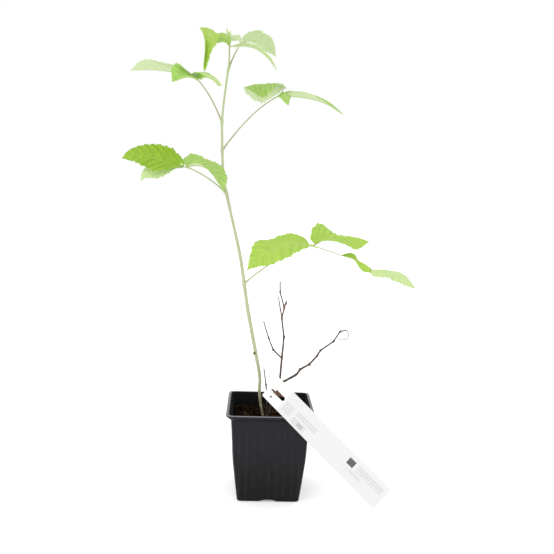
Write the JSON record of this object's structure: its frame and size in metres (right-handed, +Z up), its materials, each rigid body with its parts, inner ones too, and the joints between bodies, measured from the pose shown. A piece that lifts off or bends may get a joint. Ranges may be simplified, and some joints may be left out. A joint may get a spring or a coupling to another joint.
{
  "type": "potted raspberry cane",
  "caption": "Young raspberry plant in a square black nursery pot: a leaning green cane with three-part toothed leaves, a dead twiggy cane beside it and a blank white label.",
  "frame": {"origin": "middle of the pot's flat underside, on the surface it stands on", "axes": "+Z up, -Y towards the face of the pot that the label hangs over, +X to the right when that face is seen from the front"},
  "size_m": [0.2954, 0.1478, 0.4772],
  "materials": {
    "pot": "thin black moulded plastic with a faint sheen",
    "soil": "moist dark compost with coarse fibres",
    "cane": "smooth pale green bark, brownish at the foot",
    "leaf": "soft pleated leaves, bright green above and pale below",
    "old_wood": "dry grey-brown bark, reddish on the thin twigs",
    "label": "stiff white plastic strip"
  },
  "bodies": {
    "root": {"pot": "pot", "soil": "soil", "cane": "cane", "leaf_low_right": "leaf", "leaf_middle_left": "leaf", "leaf_upper_right": "leaf", "leaf_upper_left": "leaf", "leaf_top_right": "leaf", "shoot_top": "leaf", "old_cane": "old_wood", "old_twig_right": "old_wood", "old_twig_left": "old_wood", "dry_stalk": "old_wood", "label": "label"}
  },
  "joints": []
}
